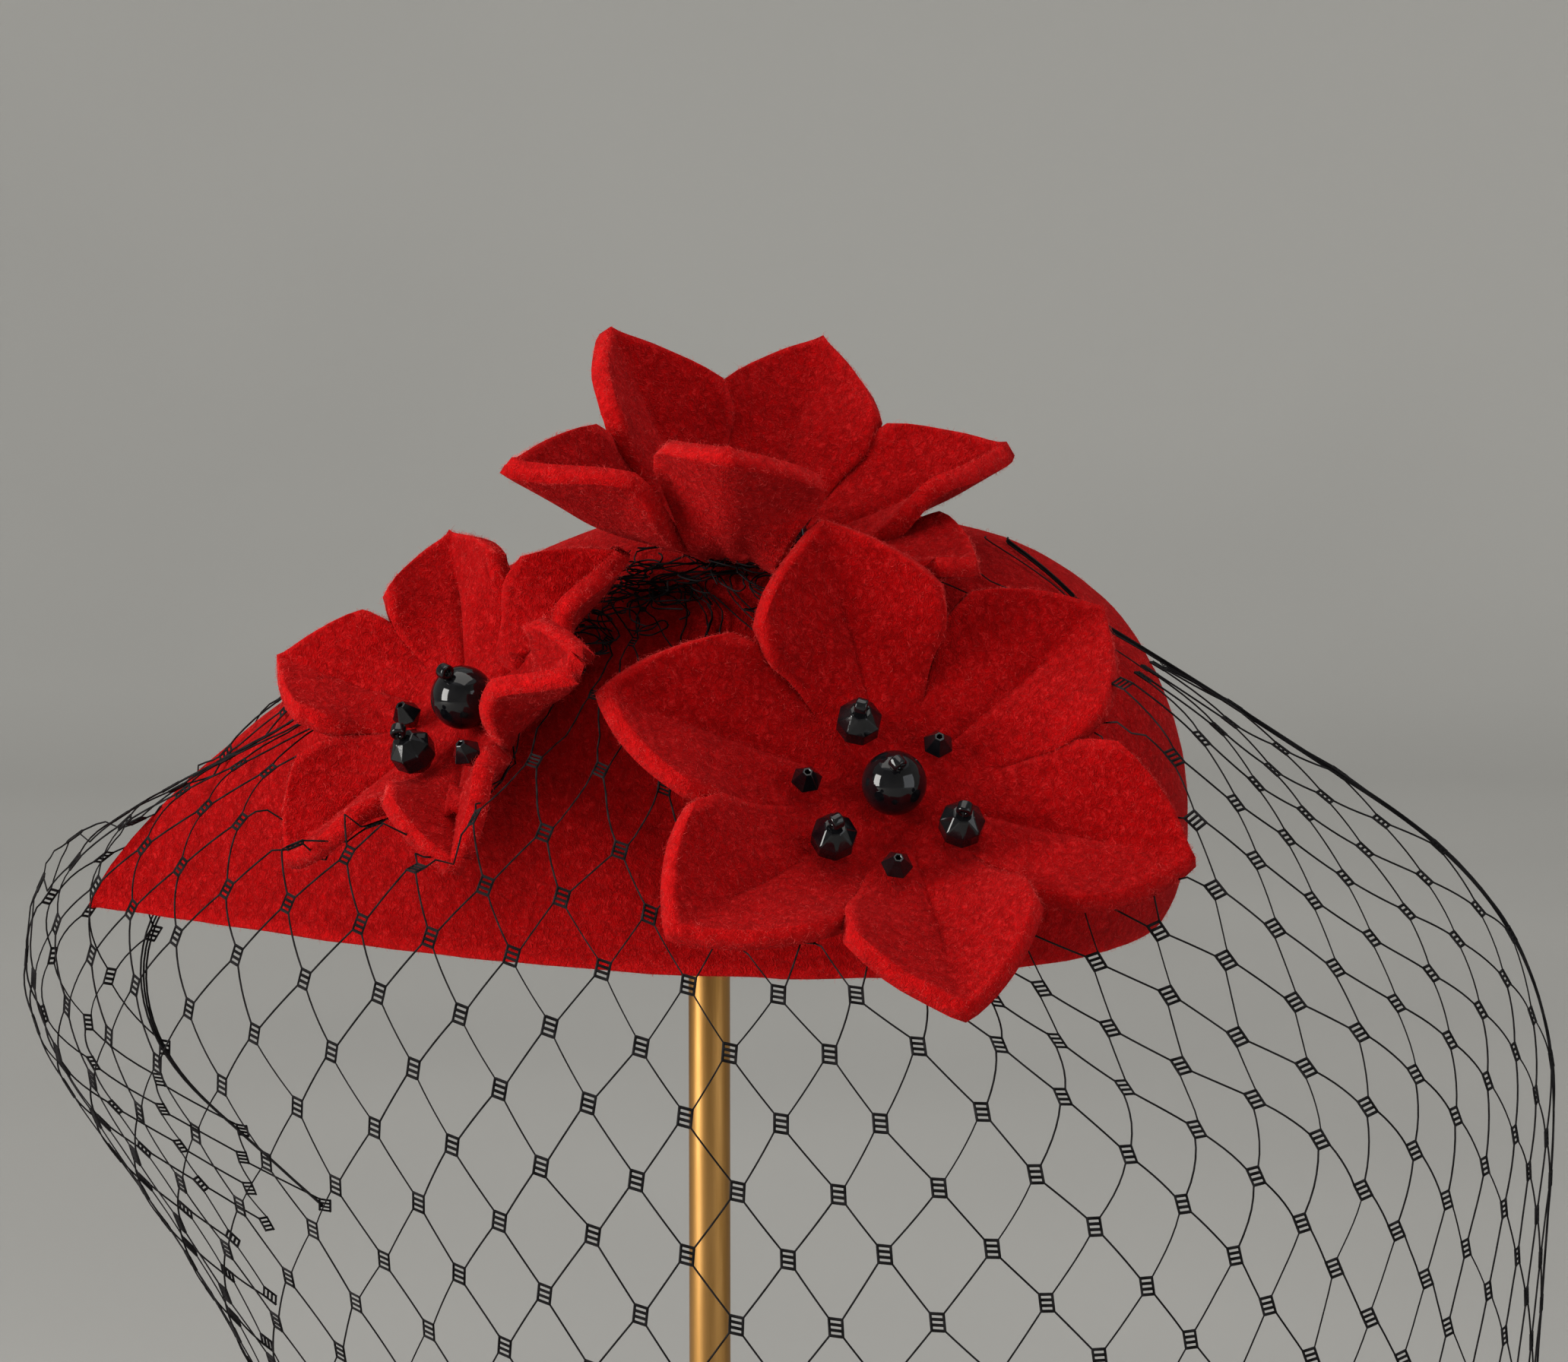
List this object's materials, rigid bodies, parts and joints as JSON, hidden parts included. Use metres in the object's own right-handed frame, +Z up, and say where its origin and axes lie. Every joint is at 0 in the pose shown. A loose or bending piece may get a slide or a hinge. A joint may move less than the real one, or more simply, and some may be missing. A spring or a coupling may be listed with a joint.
{
  "type": "fascinator on a stand",
  "caption": "Felt teardrop fascinator with felt flowers, bead centres and a netting veil, held up on a plain rod stand.",
  "frame": {"origin": "centre of the stand foot on the floor, on the axis of the rod", "axes": "+X from the point of the crown to its round end, -Y towards the veil and the front flowers, +Z up along the rod"},
  "size_m": [0.2004, 0.1458, 0.2694],
  "materials": {
    "felt": "thick matte wool felt with a short fuzzy nap and lighter cut edges",
    "bead": "polished black beads, round, faceted and bicone",
    "net": "fine black twisted thread knotted into diamond veiling",
    "comb": "black moulded comb with a soft gloss",
    "brass": "brushed brass tube and plate with a warm dull shine"
  },
  "bodies": {
    "root": {"crown": "felt", "flower_front": "felt", "flower_front_bead_round_1": "bead", "flower_front_bead_faceted_1": "bead", "flower_front_bead_faceted_2": "bead", "flower_front_bead_faceted_3": "bead", "flower_front_bead_bicone_1": "bead", "flower_front_bead_bicone_2": "bead", "flower_front_bead_bicone_3": "bead", "flower_left": "felt", "flower_left_bead_round_1": "bead", "flower_left_bead_faceted_1": "bead", "flower_left_bead_bicone_1": "bead", "flower_left_bead_bicone_2": "bead", "flower_top": "felt", "flower_top_bead_round_1": "bead", "flower_top_bead_faceted_1": "bead", "flower_top_bead_faceted_2": "bead", "flower_top_bead_bicone_1": "bead", "flower_top_bead_bicone_2": "bead", "veil": "net", "hair_comb": "comb", "stand_foot": "brass", "stand_rod": "brass", "stand_cap": "brass"}
  },
  "joints": []
}
